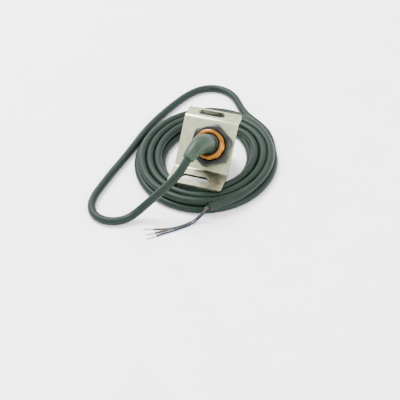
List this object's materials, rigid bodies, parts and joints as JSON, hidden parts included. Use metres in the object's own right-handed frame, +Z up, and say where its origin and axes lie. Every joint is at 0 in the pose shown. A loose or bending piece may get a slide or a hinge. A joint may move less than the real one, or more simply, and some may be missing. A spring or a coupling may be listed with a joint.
{
  "type": "proximity sensor",
  "caption": "Threaded cylindrical proximity sensor clamped by two jam nuts in a stepped steel bracket, lying in its own coiled cable with bare conductor ends.",
  "frame": {"origin": "on the surface that the sensor and its cable lie on, under the middle of the bracket and sensor without the free cable and its boot", "axes": "+Z up; +X across the bracket, to the side nearer the sensor hole; the cable end of the sensor looks up and towards -Y, its sensing face down and towards +Y"},
  "size_m": [0.1028, 0.1567, 0.0435],
  "materials": {
    "stainless_steel": "satin",
    "spring_steel": "satin",
    "dark_nickel": "satin",
    "brass": "machined",
    "cap_plastic": "moulded",
    "ferrite": "sintered",
    "bobbin_plastic": "moulded",
    "copper_wire": "enamelled",
    "board": "solder mask",
    "chip_black": "moulded",
    "ceramic": "fired",
    "lamp": "clear",
    "resin": "cast",
    "plug_plastic": "smoked",
    "seal_rubber": "moulded",
    "cable_jacket": "extruded",
    "boot_plastic": "moulded",
    "insulation_brown": "extruded",
    "insulation_blue": "extruded",
    "insulation_black": "extruded",
    "tinned_copper": "tinned"
  },
  "bodies": {
    "sensor": {"bracket": "stainless_steel", "barrel": "brass", "shield_ring": "brass", "crimp_ring": "brass", "sensing_cap": "cap_plastic", "ferrite_core": "ferrite", "coil_bobbin": "bobbin_plastic", "core_holder": "bobbin_plastic", "coil_winding": "copper_wire", "circuit_board": "board", "oscillator_chip": "chip_black", "output_transistor": "chip_black", "protection_diode": "chip_black", "capacitors": "ceramic", "resistors": "chip_black", "status_leds": "lamp", "potting_resin": "resin", "end_plug": "plug_plastic", "plug_seal": "seal_rubber", "cable_stub": "cable_jacket", "cable": "cable_jacket", "cable_coil": "cable_jacket", "strain_relief_boot": "boot_plastic", "lead_brown": "insulation_brown", "lead_blue": "insulation_blue", "lead_black": "insulation_black", "conductor_brown": "insulation_brown", "conductor_blue": "insulation_blue", "conductor_black": "insulation_black", "tinned_ends": "tinned_copper"},
    "rear_washer": {"rear_lock_washer": "spring_steel"},
    "rear_nut": {"rear_nut": "dark_nickel"},
    "front_washer": {"front_lock_washer": "spring_steel"},
    "front_nut": {"front_nut": "dark_nickel"}
  },
  "joints": [
    {"name": "rear_washer_slide", "type": "slide", "parent": "sensor", "child": "rear_washer", "axis": [0, -0.7071, 0.7071], "range_m": [0, 0.005]},
    {"name": "rear_nut_turn", "type": "hinge", "parent": "rear_washer", "child": "rear_nut", "pos_m": [0.0035, 0.00234, 0.02213], "axis": [0, -0.7071, 0.7071], "range_deg": [0, 1800]},
    {"name": "front_washer_slide", "type": "slide", "parent": "sensor", "child": "front_washer", "axis": [0, 0.7071, -0.7071], "range_m": [0, 0.009]},
    {"name": "front_nut_turn", "type": "hinge", "parent": "front_washer", "child": "front_nut", "pos_m": [0.0035, 0.00234, 0.02213], "axis": [0, 0.7071, -0.7071], "range_deg": [0, 3240]}
  ],
  "couplings": [
    {"joint": "rear_nut_turn", "follows": "rear_washer_slide", "rad_per_m": 6283.2},
    {"joint": "front_nut_turn", "follows": "front_washer_slide", "rad_per_m": 6283.2}
  ]
}
